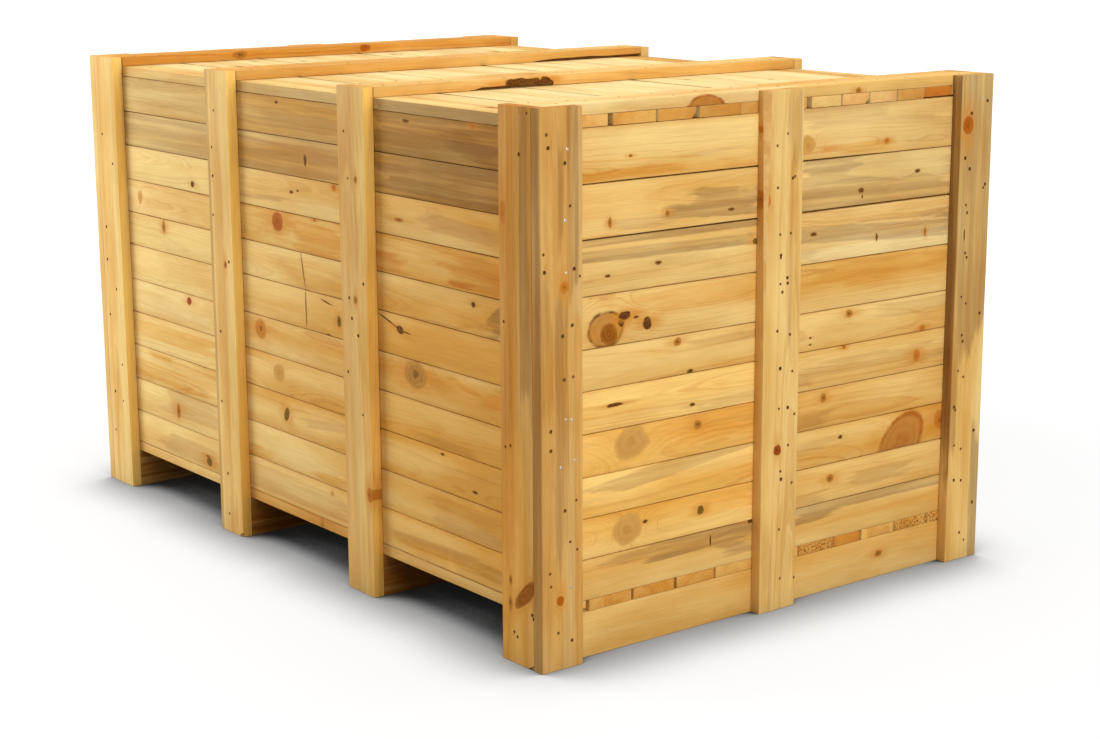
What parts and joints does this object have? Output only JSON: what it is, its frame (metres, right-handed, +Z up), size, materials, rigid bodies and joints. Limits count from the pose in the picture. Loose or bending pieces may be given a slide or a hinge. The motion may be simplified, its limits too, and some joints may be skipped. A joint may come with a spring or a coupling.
{
  "type": "wooden crate",
  "caption": "Closed crate of sawn pine boards nailed to ring frames on cross skids, with end posts and a lid of boards and battens that lifts off.",
  "frame": {"origin": "centre of the crate's footprint, on the ground under its skids", "axes": "+X along the crate towards the front end, +Y across it towards the right side, +Z up"},
  "size_m": [1.814, 1.22, 1.0693],
  "materials": {
    "skid_pine": "sawn",
    "floor_pine": "sawn",
    "post_pine": "sawn",
    "wall_pine": "planed",
    "lid_pine": "sawn"
  },
  "bodies": {
    "crate_base": {"skid_1": "skid_pine", "skid_2": "skid_pine", "skid_3": "skid_pine", "skid_4": "skid_pine", "floor_boards": "floor_pine", "left_post_1": "post_pine", "left_post_2": "post_pine", "left_post_3": "post_pine", "left_post_4": "post_pine", "right_post_1": "post_pine", "right_post_2": "post_pine", "right_post_3": "post_pine", "right_post_4": "post_pine", "front_post_left": "post_pine", "front_post_centre": "post_pine", "front_post_right": "post_pine", "rear_post_left": "post_pine", "rear_post_centre": "post_pine", "rear_post_right": "post_pine", "left_board_1": "wall_pine", "left_board_2": "wall_pine", "left_board_3": "wall_pine", "left_board_4": "wall_pine", "left_board_5": "wall_pine", "left_board_6": "wall_pine", "left_board_7": "wall_pine", "left_board_8": "wall_pine", "left_board_9": "wall_pine", "left_board_10": "wall_pine", "left_board_11": "wall_pine", "right_boards": "wall_pine", "front_board_1": "wall_pine", "front_board_2": "wall_pine", "front_board_3": "wall_pine", "front_board_4": "wall_pine", "front_board_5": "wall_pine", "front_board_6": "wall_pine", "front_board_7": "wall_pine", "front_board_8": "wall_pine", "front_board_9": "wall_pine", "front_board_10": "wall_pine", "rear_boards": "wall_pine"},
    "lid": {"lid_board_1": "lid_pine", "lid_board_2": "lid_pine", "lid_board_3": "lid_pine", "lid_board_4": "lid_pine", "lid_board_5": "lid_pine", "lid_board_6": "lid_pine", "lid_board_7": "lid_pine", "lid_board_8": "lid_pine", "lid_board_9": "lid_pine", "lid_board_10": "lid_pine", "lid_board_11": "lid_pine", "lid_board_12": "lid_pine", "lid_board_13": "lid_pine", "lid_batten_1": "lid_pine", "lid_batten_2": "lid_pine", "lid_batten_3": "lid_pine", "lid_batten_4": "lid_pine"}
  },
  "joints": [
    {"name": "lid_lift", "type": "slide", "parent": "crate_base", "child": "lid", "axis": [0, 0, 1], "range_m": [0, 0.3]}
  ]
}
